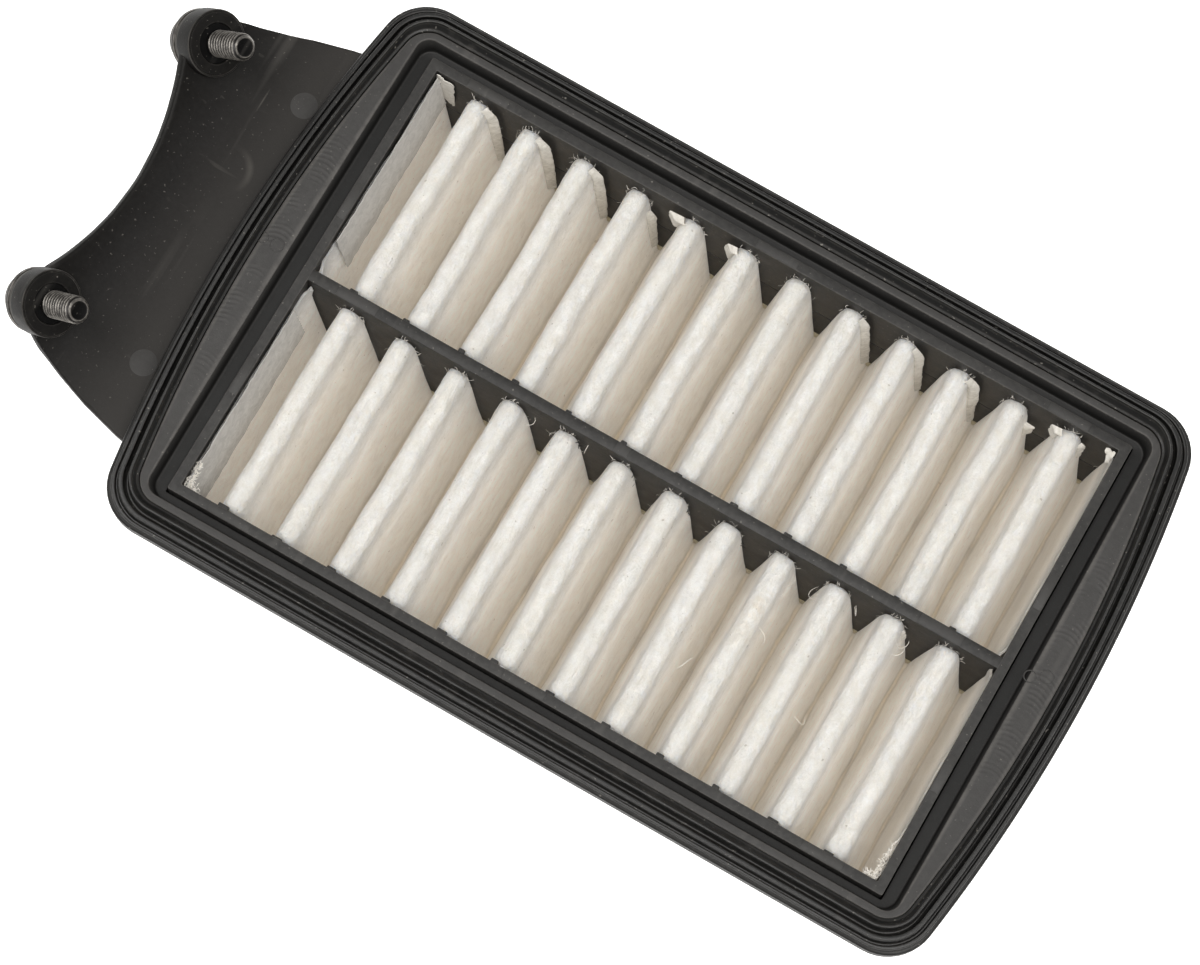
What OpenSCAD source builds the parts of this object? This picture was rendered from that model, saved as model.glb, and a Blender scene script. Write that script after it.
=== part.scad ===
// Two-bank pleated panel air filter with a curved bolt-on bracket.
// Millimetres, +Z up: the pleats and the sealing lips face up, the bracket reaches to -X.

/* [Pleat bays] */
// length of the open area, along X
bay_l = 168; // [140:1:190]
// width of the open area, along Y
bay_w = 106.5; // [90:0.5:120]
// width of the rib between the two banks
rib_w = 2.7; // [2:0.1:4]

/* [Pleats] */
// crests in each bank
crest_n = 12; // [8:1:14]
// distance from crest to crest
pitch = 13.31; // [11:0.05:15]
// first crest from the left bay wall
crest_x0 = 11.2; // [9:0.1:14]
// crest top below the rim top
crest_drop = 2; // [1:0.1:4]
// crest top to valley top
pleat_h = 34.2; // [25:0.1:40]
// thickness of the media
media_t = 1.6; // [0.8:0.1:2.5]

/* [Frame] */
// height of the cassette rim above the base
rim_z = 42; // [30:0.5:50]
// width of the cassette rim
rim_w = 2.3; // [1.5:0.1:4]
// moat floor below the rim top
moat_drop = 2.8; // [1:0.1:4]
// ledge above the rim top
ledge_rise = 1.9; // [0:0.1:4]
// wall thickness of the box
wall_t = 2; // [1.5:0.1:3]

/* [Seal] */
// inner lip above the rim top
lip1_rise = 4.1; // [2:0.1:6]
// outer lip above the rim top
lip2_rise = 1.9; // [1:0.1:4]

/* [Bracket] */
// thickness of the curved plate
plate_t = 2.4; // [2:0.1:4]
// inside radius of the curve
plate_r = 25.1; // [20:0.1:30]
// distance between the two bosses
boss_span = 67.7; // [60:0.1:75]
// boss radius
boss_r = 7.4; // [6:0.1:9]
// bolt tilt up from the panel's plane, degrees
tilt = 47; // [30:1:60]

/* [Bolt] */
// thread radius, M6
bolt_r = 3; // [2.5:0.1:4]
// thread standing out of the boss face
stud_out = 11; // [8:0.1:16]
// how far the captive bolt can draw back
bolt_float = 1.6; // [1:0.1:2]

/* [Hidden] */
$fn = 64;
hx = bay_l / 2;
hy = bay_w / 2;
bank_w = (bay_w - rib_w) / 2;
bank_y = (bank_w + rib_w) / 2;
end_gap = 0.5;
media_w = bank_w - 2 * end_gap;
crest_z = rim_z - crest_drop;
valley_z = crest_z - pleat_h;
fit_gap = 0.3;
box_in = rim_w + fit_gap;
box_out = box_in + wall_t;
cassette_z0 = 2.7;
tongue_z0 = rim_z - 4;
tongue_z1 = rim_z - 1.5;
// curve of the bracket: its centre line, and the bolt direction
plate_z = rim_z - 6;
arc_x = -hx - 28;
arc_z = plate_z + plate_r;
disc_x = -hx - 43.5;
disc_z = rim_z + 2.5;
barrel_l = 4.8;
bore_r = 4.65;
seat_r = 6.9;
seat_l = 1.2;
// thinner shank behind the thread, so that only the part outside the boss has the thread's radius
shank_r = 2.6;
shank_z1 = 0.3;
// sleeve and captive ring, as heights along the bolt from the boss face
ring_z0 = -1.2;
ring_l = 1;
sleeve_z1 = ring_z0 - bolt_float - 0.2;
sleeve_z0 = -barrel_l - 0.1;
run_gap = 0.08;
seat_gap = 0.05;
washer_z1 = sleeve_z0 - seat_gap;
washer_l = 1.15;
flange_z1 = washer_z1 - washer_l - seat_gap;
flange_l = 1.7;
head_l = 3.7;
head_r = 5.4;
head_z0 = flange_z1 - flange_l - head_l;
// lowest and outermost edge of the bolt heads, in X
head_x = disc_x + (head_z0 + 0.7) * cos(tilt) - head_r * sin(tilt);

// Outlines: (offset past the long bay wall, past the short bay wall at mid side,
// bow of the short side, corner radius)
ledge_in = [4.9, 6.25, 0.4, 3.3];
ledge_out = [6.85, 13.2, 5.5, 6];
lip1_in = [8.6, 14.5, 5.6, 7.5];
lip1_out = [9.1, 15, 5.6, 8];
lip2_in = [10.4, 16.2, 5.8, 9];
lip2_out = [11.5, 17.2, 5.8, 9.8];
tongue_out = [10.9, 16.6, 5.8, 9.4];
heel_in = [9.3, 15.2, 5.6, 8.2];
seal_out = [13.6, 19.5, 6, 11];

// the origin is the bottom centre of the whole part
x_shift = -(hx + seal_out[1] + head_x) / 2;

module placed() {
    translate([x_shift, 0, 0])
        children();
}

function arc(cx, cy, r, a0, a1, n) =
    [for (i = [0:n]) [cx + r * cos(a0 + (a1 - a0) * i / n), cy + r * sin(a0 + (a1 - a0) * i / n)]];

// Rounded rectangle whose two short sides bow outwards.
function bow_pts(o) =
    let (yh = hy + o[0], xm = hx + o[1], s = o[2], r = o[3])
    let (rb = (yh * yh + s * s) / (2 * s), cb = xm - rb)
    let (a = asin((yh - r) / (rb - r)), cx = cb + (rb - r) * cos(a), cy = yh - r)
    concat(
        arc(cb, 0, rb, -a, a, 14),
        arc(cx, cy, r, a, 90, 7),
        arc(-cx, cy, r, 90, 180 - a, 7),
        arc(-cb, 0, rb, 180 - a, 180 + a, 14),
        arc(-cx, -cy, r, 180 + a, 270, 7),
        arc(cx, -cy, r, 270, 360 - a, 7)
    );

module outline(o) { polygon(bow_pts(o)); }

module ring(outer, inner, z0, z1) {
    translate([0, 0, z0])
        linear_extrude(z1 - z0)
            difference() {
                outline(outer);
                outline(inner);
            }
}

module bay_rect(d) { square([bay_l + 2 * d, bay_w + 2 * d], center = true); }

// Square ring of the box, from d0 to d1 past the bay walls.
module box_ring(d0, d1, z0, z1) {
    translate([0, 0, z0])
        linear_extrude(z1 - z0)
            difference() {
                bay_rect(d1);
                bay_rect(d0);
            }
}

// One boss's own frame: +Z out of the boss face, side is +1 or -1.
module at_boss(side) {
    translate([disc_x, side * boss_span / 2, disc_z])
        rotate([0, 90 - tilt, 0])
            children();
}

// Plan shape of the bracket, from inside the box wall to past its outer edge.
module plate_plan() {
    half = [[-3, 52.5], [-10, 51.8], [-19, 50], [-28, 47.6], [-36, 44.8], [-42, 42.4],
        [-45.5, 40.6], [-49, 36.5], [-51, 31], [-52, 24]];
    translate([-hx, 0])
        polygon(concat(half, [for (i = [len(half) - 1:-1:0]) [half[i][0], -half[i][1]]]));
}

module plate_curve(r, h) {
    translate([arc_x, 0, arc_z])
        rotate([90, 0, 0])
            cylinder(r = r, h = h, center = true, $fn = 128);
}

// Curved plate: level under the seal, then rising to the bosses; its outer edge is concave.
module plate() {
    difference() {
        intersection() {
            union() {
                translate([arc_x, -60, plate_z - plate_t])
                    cube([26, 120, plate_t]);
                intersection() {
                    difference() {
                        plate_curve(plate_r + plate_t, 120);
                        plate_curve(plate_r, 130);
                    }
                    translate([arc_x - 40, -60, plate_z - plate_t - 1])
                        cube([40, 120, 30]);
                }
            }
            translate([0, 0, plate_z - 6])
                linear_extrude(30)
                    plate_plan();
        }
        at_boss(0)
            translate([-53.3, 0, -30])
                cylinder(r = 56.5, h = 60, $fn = 128);
    }
}

// Gusset under the bracket, between the box wall and the plate.
module gusset(y) {
    translate([0, y + 1, 0])
        rotate([90, 0, 0])
            linear_extrude(2)
                polygon(concat(
                    [[-hx - box_out + 0.5, rim_z - 26], [-hx - box_out + 0.5, plate_z - 1]],
                    arc(arc_x, arc_z, plate_r + plate_t - 0.6, 270, 252, 4)
                ));
}

// Cassette: rim, box walls, divider rib, comb teeth over the crest ends, pads on the rim.
module cassette_frame() {
    color("#2b2a28") placed() {
        box_ring(0, rim_w, cassette_z0, rim_z);
        translate([-hx - 0.5, -rib_w / 2, cassette_z0])
            cube([bay_l + 1, rib_w, rim_z - cassette_z0]);
        for (y = [-hy, rib_w / 2], i = [0:crest_n - 1])
            translate([-hx + crest_x0 + i * pitch - 2.4, y - 0.4, rim_z - 1.7])
                cube([2.2, 1.4, 1.2]);
        for (x = [-hx + 7.3, -hx + 79, hx - 17.4], y = [-hy - rim_w + 0.2, hy + 0.2])
            translate([x, y, rim_z - 0.5])
                cube([10, rim_w - 0.4, 0.65]);
        for (x = [-hx + 6.7, hx - 19.2])
            translate([x, -rib_w / 2 + 0.15, rim_z - 0.5])
                cube([10, rib_w - 0.3, 0.65]);
    }
}

// Outer moulding: box, moat floor, ledge, seal tongue, bracket with its bosses, ribs.
module carrier_frame() {
    color("#35332f")
        placed() difference() {
            union() {
                box_ring(box_in, box_out, 0, rim_z - moat_drop);
                box_ring(0, box_in + 0.5, 0, cassette_z0);
                translate([0, 0, tongue_z0])
                    linear_extrude(rim_z - moat_drop - tongue_z0)
                        difference() {
                            outline(tongue_out);
                            bay_rect(box_in);
                        }
                ring(tongue_out, ledge_in, rim_z - moat_drop - 0.1, tongue_z1);
                ring(ledge_out, ledge_in, tongue_z1 - 0.1, rim_z + ledge_rise);
                for (s = [-1, 1], i = [-3:3])
                    translate([i * 25 - 0.8, s * (hy + box_out + 0.9) - 1.1, 4])
                        cube([1.6, 2.2, tongue_z0 - 3.5]);
                for (i = [-2:2])
                    translate([hx + box_out - 0.2, i * 22 - 0.8, 4])
                        cube([2.2, 1.6, tongue_z0 - 3.5]);
                plate();
                for (y = [-42, -15, 15, 42])
                    gusset(y);
                for (s = [-1, 1])
                    at_boss(s)
                        translate([0, 0, -barrel_l])
                            cylinder(r = boss_r, h = barrel_l);
            }
            // bore for the sleeve, seat for the sealing ring, flat back face
            for (s = [-1, 1])
                at_boss(s) {
                    translate([0, 0, -barrel_l - 12])
                        cylinder(r = bore_r, h = barrel_l + 13);
                    translate([0, 0, -seat_l])
                        cylinder(r = seat_r, h = seat_l + 1);
                    translate([0, 0, -barrel_l - 12])
                        cylinder(r = boss_r + 1.5, h = 12);
                }
        }
}

// Perimeter seal: a rubber clip round the tongue, with two lips standing up.
module seal_gasket() {
    color("#141414") placed() {
        ring(lip1_in, ledge_out, tongue_z1, rim_z + 2.6);
        ring(lip1_out, lip1_in, tongue_z1, rim_z + lip1_rise);
        ring(lip2_in, lip1_out, tongue_z1, rim_z + 0.4);
        ring(lip2_out, lip2_in, tongue_z1, rim_z + lip2_rise);
        ring(seal_out, lip2_out, rim_z - 5.2, rim_z - 0.6);
        ring(lip2_out, tongue_out, rim_z - 5.2, tongue_z1);
        ring(tongue_out, heel_in, rim_z - 5.2, tongue_z0);
    }
}

// One face of the folded media, d below its upper face, as a list of [x, z].
function crest_arc(x, d) =
    [for (a = [-1, -0.8, -0.4, 0, 0.4, 0.8, 1]) [x + (2.3 - d) * a, crest_z - d - 1.1 * a * a]];
function valley_arc(x, d) =
    [for (a = [-1, -0.5, 0, 0.5, 1]) [x + (1.4 + d) * a, valley_z - d + 0.9 * a * a]];
function fold(d) = concat(
    [[-hx + 0.5 + media_t - d, crest_z - 3]],
    valley_arc(-hx + crest_x0 - pitch / 2, d),
    [for (i = [0:crest_n - 1], p = concat(
        crest_arc(-hx + crest_x0 + i * pitch, d),
        valley_arc(-hx + crest_x0 + (i + 0.5) * pitch, d))) p],
    [[hx - 0.5 - media_t + d, crest_z - 6]]
);
function back(v) = [for (i = [len(v) - 1:-1:0]) v[i]];

// Folded media of one bank, a single sheet across the bay.
module pleats(y) {
    color("#e9e5de")
        placed() translate([0, y + media_w / 2, 0])
            rotate([90, 0, 0])
                linear_extrude(media_w)
                    polygon(concat(fold(0), back(fold(media_t))));
}

// Adhesive round the foot of one bank.
module bond_bead(y) {
    color("#c9bfa5")
        placed() translate([0, y, cassette_z0 + 0.8])
            linear_extrude(4)
                difference() {
                    square([bay_l, bank_w], center = true);
                    square([bay_l - 0.8, bank_w - 0.8], center = true);
                }
}

// Strand of adhesive that keeps the folds apart, under the valleys.
module stay_strand(y) {
    color("#d4ccb4")
        placed() translate([-hx + 3, y - 1.5, valley_z - media_t - 0.8])
            cube([bay_l - 6, 3, 0.8]);
}

// Grid behind the pleats, inside the box's foot.
module rear_grid() {
    color("#2f2d2b")
        placed() translate([0, 0, 0.3])
            linear_extrude(2) {
                difference() {
                    bay_rect(-fit_gap);
                    bay_rect(-2.6);
                }
                for (y = [-bank_y, 0, bank_y])
                    translate([0, y])
                        square([bay_l - 2, 2.4], center = true);
                for (x = [-56, -28, 0, 28, 56])
                    translate([x, 0])
                        square([2, bay_w - 2], center = true);
            }
}

// Cylinder with a hole, on the bolt's line, from z0 to z1 above the boss face.
module tube(r, hole_r, z0, z1) {
    translate([0, 0, z0])
        difference() {
            cylinder(r = r, h = z1 - z0);
            translate([0, 0, -1])
                cylinder(r = hole_r, h = z1 - z0 + 2);
        }
}

// Captive M6 bolt: plain shank, thread envelope with a chamfer, flanged round head, hex socket.
module bolt(side) {
    color("#3a3836")
        placed() at_boss(side)
            difference() {
                union() {
                    translate([0, 0, flange_z1 - 0.5])
                        cylinder(r = shank_r, h = shank_z1 - flange_z1 + 0.6);
                    translate([0, 0, shank_z1])
                        cylinder(r = bolt_r, h = stud_out - 0.7 - shank_z1);
                    translate([0, 0, stud_out - 0.7])
                        cylinder(r1 = bolt_r, r2 = bolt_r - 0.7, h = 0.7);
                    translate([0, 0, flange_z1 - flange_l])
                        cylinder(r = boss_r - 0.3, h = flange_l);
                    translate([0, 0, head_z0 + 0.7])
                        cylinder(r = head_r, h = head_l - 0.6);
                    translate([0, 0, head_z0])
                        cylinder(r1 = head_r - 0.9, r2 = head_r, h = 0.7);
                }
                translate([0, 0, head_z0 - 1])
                    cylinder(r = 2.3, h = 4, $fn = 6);
            }
}

module washer(side) {
    color("#5b5853")
        placed() at_boss(side)
            tube(boss_r - 0.5, shank_r + run_gap, washer_z1 - washer_l, washer_z1);
}

module sleeve(side) {
    color("#8c8a86")
        placed() at_boss(side)
            tube(bore_r, shank_r + run_gap, sleeve_z0, sleeve_z1);
}

module captive_ring(side) {
    color("#1c1b1a")
        placed() at_boss(side)
            tube(bore_r - 0.3, shank_r, ring_z0, ring_z0 + ring_l);
}

module face_seal(side) {
    color("#121212")
        placed() at_boss(side)
            tube(seat_r, bore_r + 0.1, -seat_l, 0.1);
}

module pleats_left_bank() { pleats(bank_y); }
module pleats_right_bank() { pleats(-bank_y); }
module bond_bead_left() { bond_bead(bank_y); }
module bond_bead_right() { bond_bead(-bank_y); }
module stay_strand_left() { stay_strand(bank_y); }
module stay_strand_right() { stay_strand(-bank_y); }
module bolt_left() { bolt(1); }
module bolt_right() { bolt(-1); }
module washer_left() { washer(1); }
module washer_right() { washer(-1); }
module sleeve_left() { sleeve(1); }
module sleeve_right() { sleeve(-1); }
module captive_ring_left() { captive_ring(1); }
module captive_ring_right() { captive_ring(-1); }
module face_seal_left() { face_seal(1); }
module face_seal_right() { face_seal(-1); }

carrier_frame();
cassette_frame();
seal_gasket();
pleats_left_bank();
pleats_right_bank();
bond_bead_left();
bond_bead_right();
stay_strand_left();
stay_strand_right();
rear_grid();
bolt_left();
bolt_right();
washer_left();
washer_right();
sleeve_left();
sleeve_right();
captive_ring_left();
captive_ring_right();
face_seal_left();
face_seal_right();
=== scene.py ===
"""Looks of the two-bank pleated panel air filter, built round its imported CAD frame."""

import math

import bmesh
import bpy
import numpy as np
from mathutils import Matrix, Vector


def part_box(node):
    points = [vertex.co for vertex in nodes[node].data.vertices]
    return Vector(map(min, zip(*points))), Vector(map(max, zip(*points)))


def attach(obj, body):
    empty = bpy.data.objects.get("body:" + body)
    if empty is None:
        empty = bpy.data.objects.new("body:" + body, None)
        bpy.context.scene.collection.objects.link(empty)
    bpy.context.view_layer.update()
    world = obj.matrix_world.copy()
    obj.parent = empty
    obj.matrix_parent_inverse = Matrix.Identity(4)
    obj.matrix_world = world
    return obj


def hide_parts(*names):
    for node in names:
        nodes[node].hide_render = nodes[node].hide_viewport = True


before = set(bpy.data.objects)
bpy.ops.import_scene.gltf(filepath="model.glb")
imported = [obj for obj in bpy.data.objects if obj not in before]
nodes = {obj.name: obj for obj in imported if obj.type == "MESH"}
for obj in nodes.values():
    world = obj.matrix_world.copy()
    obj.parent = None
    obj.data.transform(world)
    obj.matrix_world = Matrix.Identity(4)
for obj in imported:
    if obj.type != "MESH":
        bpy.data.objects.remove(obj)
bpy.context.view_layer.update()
rng = np.random.default_rng(7)

# ---- measures, mm
seal_lo, seal_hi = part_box("seal_gasket")
XS = (seal_lo.x + seal_hi.x) * 500
RIM = seal_hi.z * 1000 - 4.1
HX = (seal_hi.x - seal_lo.x) * 500 - 19.5
HY = seal_hi.y * 1000 - 13.6
RIB_W = 2.7
PITCH = 13.31
CREST_X0 = 11.2
CREST_N = 12
CREST_Z = RIM - 2
VALLEY_Z = CREST_Z - 34.2
MEDIA_T = 1.6
BANK_W = (HY * 2 - RIB_W) / 2
BANK_Y = (BANK_W + RIB_W) / 2
MEDIA_W = BANK_W - 1.0
BACK_Z = 2.75  # back face of the inner moulding
PAD_Z = RIM + 0.1
TILT = math.radians(47)
TILT_C, TILT_S = math.cos(TILT), math.sin(TILT)
DISC_X = -HX - 43.5
DISC_Z = RIM + 2.5
BOSS_Y = 33.85
BOSS_R = 7.4
BARREL = 4.8
PLATE_T = 2.4
PLATE_R = 25.1
PLATE_Z = RIM - 6
ARC_X = -HX - 28
ARC_Z = PLATE_Z + PLATE_R
BOLT_HOLE_R = 5.95  # in the plate, hidden inside the boss barrels
PIN_X = -88.2 - XS  # ejector pin marks on the plate
PIN_Y = 33.5


def crest_x(k):
    """x of crest k, or between two crests."""
    return -HX + CREST_X0 + k * PITCH


def new_object(name, data):
    obj = bpy.data.objects.new(name, data)
    bpy.context.scene.collection.objects.link(obj)
    return obj


def turned(radius, angle, height):
    """Points at a radius, angle and height round an axis."""
    radius, angle, height = np.broadcast_arrays(radius, angle, height)
    return np.stack([radius * np.cos(angle), radius * np.sin(angle), height], -1)


# ---- mesh helpers
class Piece:
    """Collects vertices in mm, in the panel's own frame, then makes one object of them."""

    def __init__(self, name):
        self.name = name
        self.co, self.faces, self.mats, self.wear = [], [], [], []
        self.count = 0

    def add(self, points, faces, mat=0, wear=None):
        points = np.asarray(points, float).reshape(-1, 3)
        self.co.append(points)
        self.faces += [tuple(int(i) + self.count for i in f) for f in faces]
        self.mats += [mat] * len(faces)
        wear = np.zeros(len(points)) if wear is None else np.asarray(wear, float).ravel()
        self.wear.append(wear)
        self.count += len(points)

    def grid(self, p, close_u=False, close_v=False, mat=0, wear=None):
        """p is an array (u, v, 3); its quads, joined round where closed."""
        nu, nv = p.shape[:2]
        rows, columns = nu if close_u else nu - 1, nv if close_v else nv - 1
        u, v = np.meshgrid(np.arange(rows), np.arange(columns), indexing="ij")
        u1, v1 = (u + 1) % nu, (v + 1) % nv
        quads = np.stack([u * nv + v, u1 * nv + v, u1 * nv + v1, u * nv + v1], -1)
        self.add(p, quads.reshape(-1, 4).tolist(), mat, wear)

    def cap(self, first, count, mat=0, flip=False):
        """One face over a ring of consecutive vertices."""
        ring = tuple(range(first, first + count))
        self.faces.append(ring[::-1] if flip else ring)
        self.mats.append(mat)

    def box(self, lo, hi, mat=0, bevel=0.2):
        """Box with chamfered edges."""
        lo, hi = np.array(lo, float), np.array(hi, float)
        bm = bmesh.new()
        bmesh.ops.create_cube(bm, size=1)
        for v in bm.verts:
            v.co = Vector((lo + hi) / 2 + np.array(v.co) * (hi - lo))
        self.take(bm, mat, bevel)

    def prism(self, outline_2d, y0, y1, bevel=0.25):
        """Outline in x, z pulled from y0 to y1."""
        bm = bmesh.new()
        ring = [bm.verts.new((x, y0, z)) for x, z in outline_2d]
        face = bm.faces.new(ring)
        out = bmesh.ops.extrude_face_region(bm, geom=[face])["geom"]
        for v in out:
            if isinstance(v, bmesh.types.BMVert):
                v.co.y = y1
        bmesh.ops.recalc_face_normals(bm, faces=bm.faces[:])
        self.take(bm, 0, bevel)

    def take(self, bm, mat=0, bevel=0):
        """Takes over a bmesh, its edges chamfered first where bevel isn't 0."""
        if bevel:
            bmesh.ops.bevel(
                bm, geom=bm.edges[:], offset=bevel, segments=2, affect="EDGES", profile=0.5
            )
        bm.verts.index_update()
        self.add(
            [v.co[:] for v in bm.verts], [[v.index for v in f.verts] for f in bm.faces], mat
        )
        bm.free()

    def tube(self, path, radius, sides=5, mat=0):
        """Thin closed tube along a path, tapering to its ends."""
        path = np.asarray(path, float)
        tangent = np.gradient(path, axis=0)
        tangent /= np.linalg.norm(tangent, axis=1, keepdims=True) + 1e-9
        side = np.cross(tangent, [0.31, 0.24, 0.92])
        side /= np.linalg.norm(side, axis=1, keepdims=True) + 1e-9
        other = np.cross(tangent, side)
        a = np.arange(sides) * 2 * math.pi / sides
        taper = np.sin(np.linspace(0.12, math.pi - 0.12, len(path))) ** 0.5 * radius
        taper = taper[:, None, None]
        ring = (
            path[:, None]
            + side[:, None] * (np.cos(a)[None, :, None] * taper)
            + other[:, None] * (np.sin(a)[None, :, None] * taper)
        )
        start = self.count
        self.grid(ring, close_v=True, mat=mat)
        self.cap(start, sides, mat, flip=True)
        self.cap(start + (len(path) - 1) * sides, sides, mat)

    def lathe(self, profile, place, sides, wear):
        """Closed profile of (radius, height) turned round a boss's axis."""
        a = np.arange(sides) * 2 * math.pi / sides
        p = turned(profile[:, :1], a, profile[:, 1:])
        self.grid(place(p), True, True, wear=np.repeat(wear[:, None], sides, 1))

    def done(self, body, materials, replaces=(), sharp=32, recalc=True):
        co = np.concatenate(self.co)
        co = (co + [XS, 0, 0]) / 1000
        mesh = bpy.data.meshes.new(self.name)
        mesh.from_pydata(co.tolist(), [], self.faces)
        mesh.polygons.foreach_set("material_index", self.mats)
        mesh.polygons.foreach_set("use_smooth", [True] * len(self.faces))
        attribute = mesh.attributes.new("wear", "FLOAT", "POINT")
        attribute.data.foreach_set("value", np.concatenate(self.wear).astype(np.float32))
        if recalc:
            bm = bmesh.new()
            bm.from_mesh(mesh)
            bmesh.ops.recalc_face_normals(bm, faces=bm.faces[:])
            bm.to_mesh(mesh)
            bm.free()
        mesh.update()
        mesh.set_sharp_from_angle(angle=math.radians(sharp))
        obj = new_object(self.name, mesh)
        for m in materials:
            mesh.materials.append(m)
        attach(obj, body)
        if replaces:
            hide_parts(*replaces)
        return obj


def outline(dy, dx, bow, r, nb=36, nc=9, nl=56):
    """Closed outline, mm past the bay walls, whose short sides bow outwards."""
    yh, xm = HY + dy, HX + dx
    rb = (yh * yh + bow * bow) / (2 * bow)
    cb = xm - rb
    a = math.asin((yh - r) / (rb - r))
    cx, cy = cb + (rb - r) * math.cos(a), yh - r

    def arc(x, y, rad, a0, a1, n, ends=True):
        t = np.linspace(a0, a1, n + 2)
        t = t if ends else t[1:-1]
        return np.stack([x + rad * np.cos(t), y + rad * np.sin(t)], 1)

    def line(x0, x1, y):
        t = np.linspace(x0, x1, nl + 2)
        return np.stack([t, np.full_like(t, y)], 1)

    half, pi = math.pi / 2, math.pi
    return np.concatenate(
        [
            arc(cb, 0, rb, -a, a, nb),
            arc(cx, cy, r, a, half, nc, False),
            line(cx, -cx, yh),
            arc(-cx, cy, r, half, pi - a, nc, False),
            arc(-cb, 0, rb, pi - a, pi + a, nb),
            arc(-cx, -cy, r, pi + a, 3 * half, nc, False),
            line(-cx, cx, -yh),
            arc(cx, -cy, r, 3 * half, 2 * pi - a, nc, False),
        ]
    )


def rounded(knots, radii, closed=True, steps=5, dims=(0, -1)):
    """A profile with its corners rounded. Returns the points and 1 for those on a corner."""
    knots = np.asarray(knots, float)
    n = len(knots)
    points, wear = [], []
    for i in range(n):
        r = radii[i] if np.ndim(radii) else radii
        if (not closed and i in (0, n - 1)) or r <= 0:
            points.append(knots[i])
            wear.append(0.0)
            continue
        here, before, after = knots[i], knots[i - 1], knots[(i + 1) % n]
        lb = max(np.linalg.norm((before - here)[list(dims)]), 1e-6)
        la = max(np.linalg.norm((after - here)[list(dims)]), 1e-6)
        p0 = here + (before - here) * min(r / lb, 0.48)
        p2 = here + (after - here) * min(r / la, 0.48)
        for t in np.linspace(0, 1, steps):
            points.append((1 - t) ** 2 * p0 + 2 * t * (1 - t) * here + t * t * p2)
            wear.append(math.sin(math.pi * t))
    return np.array(points), np.array(wear)


def sweep(piece, knots, radii, mat=0, steps=5):
    """Closed profile of (dy, dx, bow, r, z) carried round the panel."""
    profile, wear = rounded(knots, radii, steps=steps)
    rings = []
    for dy, dx, bow, r, z in profile:
        o = outline(dy, dx, bow, r)
        rings.append(np.column_stack([o, np.full(len(o), z)]))
    rings = np.array(rings)
    piece.grid(rings, True, True, mat, np.repeat(wear[:, None], rings.shape[1], 1))


def at_boss(side):
    """Takes points from a boss's own frame, +Z out of its face, to the panel's."""

    def place(p):
        x, y, z = p[..., 0], p[..., 1], p[..., 2]
        px, pz = DISC_X + x * TILT_S + z * TILT_C, DISC_Z - x * TILT_C + z * TILT_S
        return np.stack([px, side * BOSS_Y + y, pz], -1)

    return place


def smooth_noise(shape, cells, seed):
    """Smooth random field from -1 to 1 with about that many cells each way."""
    r = np.random.default_rng(seed)
    coarse = r.uniform(-1, 1, (cells[0] + 3, cells[1] + 3))

    def weights(count, cell_count):
        t = np.linspace(0, cell_count, count)
        i = t.astype(int)
        f = t - i
        spline = [(1 - f) ** 3 / 6, (3 * f**3 - 6 * f**2 + 4) / 6,
                  (-3 * f**3 + 3 * f**2 + 3 * f + 1) / 6, f**3 / 6]
        return np.minimum(i, cell_count - 1), np.stack(spline, 1)

    iu, wu = weights(shape[0], cells[0])
    iv, wv = weights(shape[1], cells[1])
    out = np.zeros(shape)
    for a in range(4):
        for b in range(4):
            out += wu[:, a][:, None] * wv[:, b][None] * coarse[(iu + a)[:, None], (iv + b)[None]]
    return out * 1.8


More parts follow.
